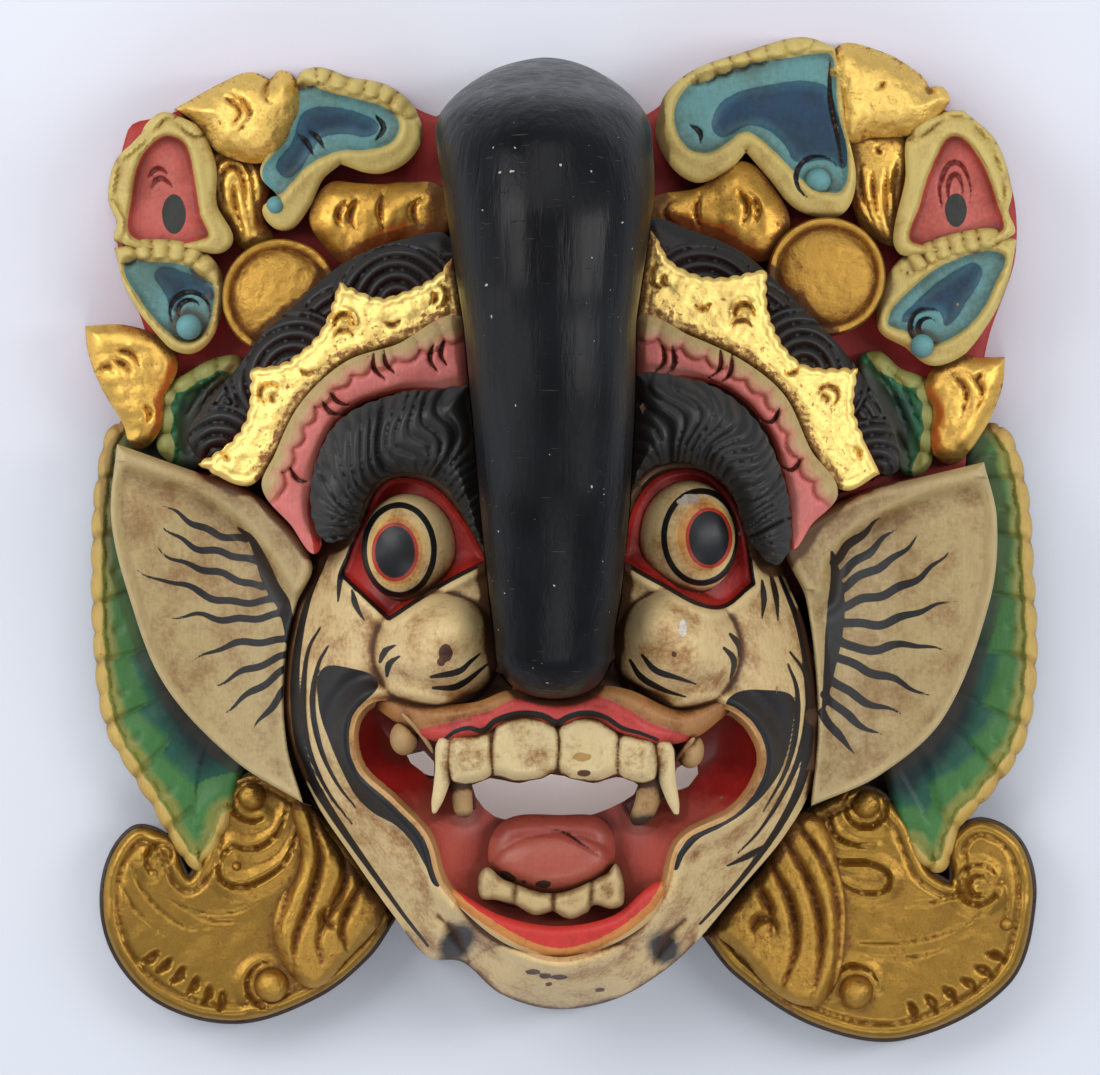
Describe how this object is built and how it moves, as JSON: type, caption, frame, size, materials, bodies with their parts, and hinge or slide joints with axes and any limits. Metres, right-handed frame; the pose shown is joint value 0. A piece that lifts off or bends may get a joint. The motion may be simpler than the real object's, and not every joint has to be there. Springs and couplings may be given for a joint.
{
  "type": "carved mask",
  "caption": "Carved and painted wooden mask of a mythical animal with a long trunk, fan ears and a leaf crown, hollow behind, lying on its back.",
  "frame": {"origin": "middle of the box of the whole mask, at its flat back", "axes": "+Z out of the face, away from the flat back; +Y towards the crown; +X towards the ear on the right of someone who looks at the face"},
  "size_m": [0.41, 0.4322, 0.1887],
  "materials": {
    "painted_wood": "painted and gilded, antique wash",
    "black_wood": "black paint, half gloss"
  },
  "bodies": {
    "root": {"mask": "painted_wood", "trunk": "black_wood"}
  },
  "joints": []
}
